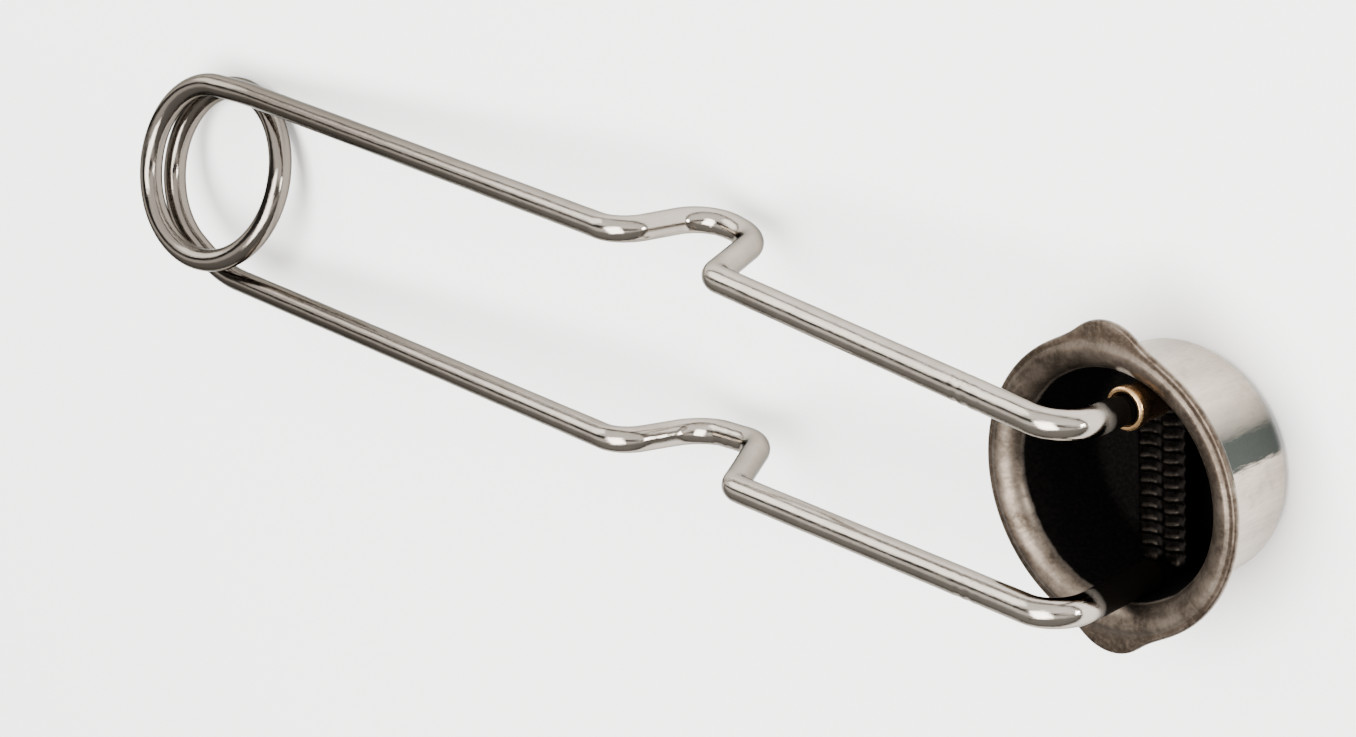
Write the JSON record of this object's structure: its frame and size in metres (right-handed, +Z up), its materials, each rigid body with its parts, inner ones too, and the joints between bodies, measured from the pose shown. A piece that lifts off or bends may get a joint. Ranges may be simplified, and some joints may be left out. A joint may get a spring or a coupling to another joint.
{
  "type": "flint striker",
  "caption": "Squeeze-handle flint striker: sprung wire arms, a drawn steel cup with a file inside and a threaded flint that sweeps across it to throw sparks",
  "frame": {"origin": "centre of the cup's flat underside, on the bench", "axes": "+Z up out of the cup's mouth, +X from the spring coil to the cup, +Y from the arm fixed to the cup to the arm that carries the flint"},
  "size_m": [0.1735, 0.0314, 0.0219],
  "materials": {
    "plated_wire": "bright nickel plate over drawn spring wire",
    "cup_steel": "drawn satin steel, heat-tinted brown at the lip and sooty inside",
    "file_steel": "hardened dark steel with cross-cut teeth",
    "holder_brass": "turned brass, slightly tarnished",
    "flint_alloy": "matt dark ferrocerium"
  },
  "bodies": {
    "cup_side": {"cup": "cup_steel", "file_strip": "file_steel", "cup_arm": "plated_wire"},
    "coil_side": {"torsion_coil": "plated_wire"},
    "flint_side": {"flint_arm": "plated_wire"},
    "holder": {"flint_holder": "holder_brass", "flint": "flint_alloy"}
  },
  "joints": [
    {"name": "arm_lift", "type": "hinge", "parent": "cup_side", "child": "coil_side", "pos_m": [-0.147, 0.0012, 0.00576], "axis": [0, -1, 0], "range_deg": [0, 7], "stiffness_Nm_per_rad": 6, "springref_deg": -1.15},
    {"name": "squeeze", "type": "hinge", "parent": "coil_side", "child": "flint_side", "pos_m": [-0.147, 0.0012, 0.00576], "axis": [0, 0, -1], "range_deg": [0, 5.1], "stiffness_Nm_per_rad": 5, "springref_deg": -1.15},
    {"name": "holder_turn", "type": "hinge", "parent": "flint_side", "child": "holder", "pos_m": [0.0024, 0.0084, 0.012], "axis": [0, 0, 1], "continuous": true}
  ]
}
